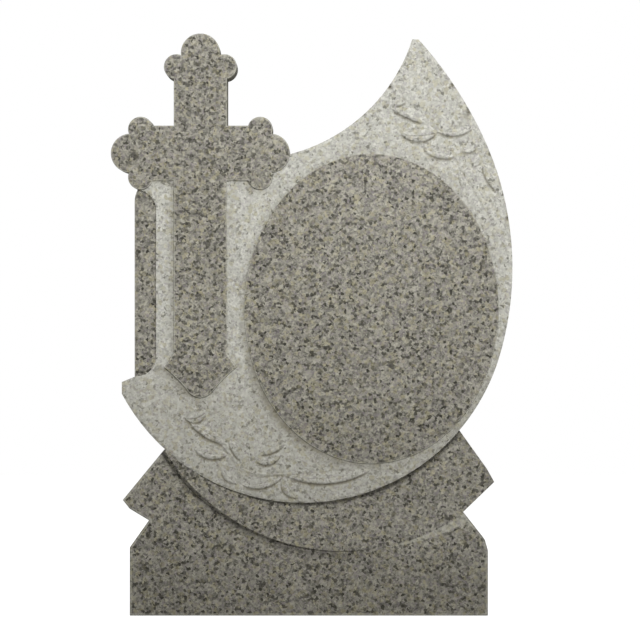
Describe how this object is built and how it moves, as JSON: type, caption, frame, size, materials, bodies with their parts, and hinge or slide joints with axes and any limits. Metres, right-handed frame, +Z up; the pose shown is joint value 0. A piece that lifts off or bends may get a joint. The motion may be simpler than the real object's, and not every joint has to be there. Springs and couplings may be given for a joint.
{
  "type": "carved granite grave monument",
  "caption": "Upright granite stele with a budded cross beside a raised oval field on a crescent panel, over a winged foot block.",
  "frame": {"origin": "on the underside, at the middle of the foot block's width and of the stone's thickness", "axes": "+Z up, +X to the right seen from the carved front, the front faces -Y"},
  "size_m": [0.6889, 0.12, 0.9999],
  "materials": {
    "granite": "warm grey speckled granite, polished on the cross, oval, lower band and foot, dressed rough and light on the crescent panel"
  },
  "bodies": {
    "root": {"stele": "granite"}
  },
  "joints": []
}
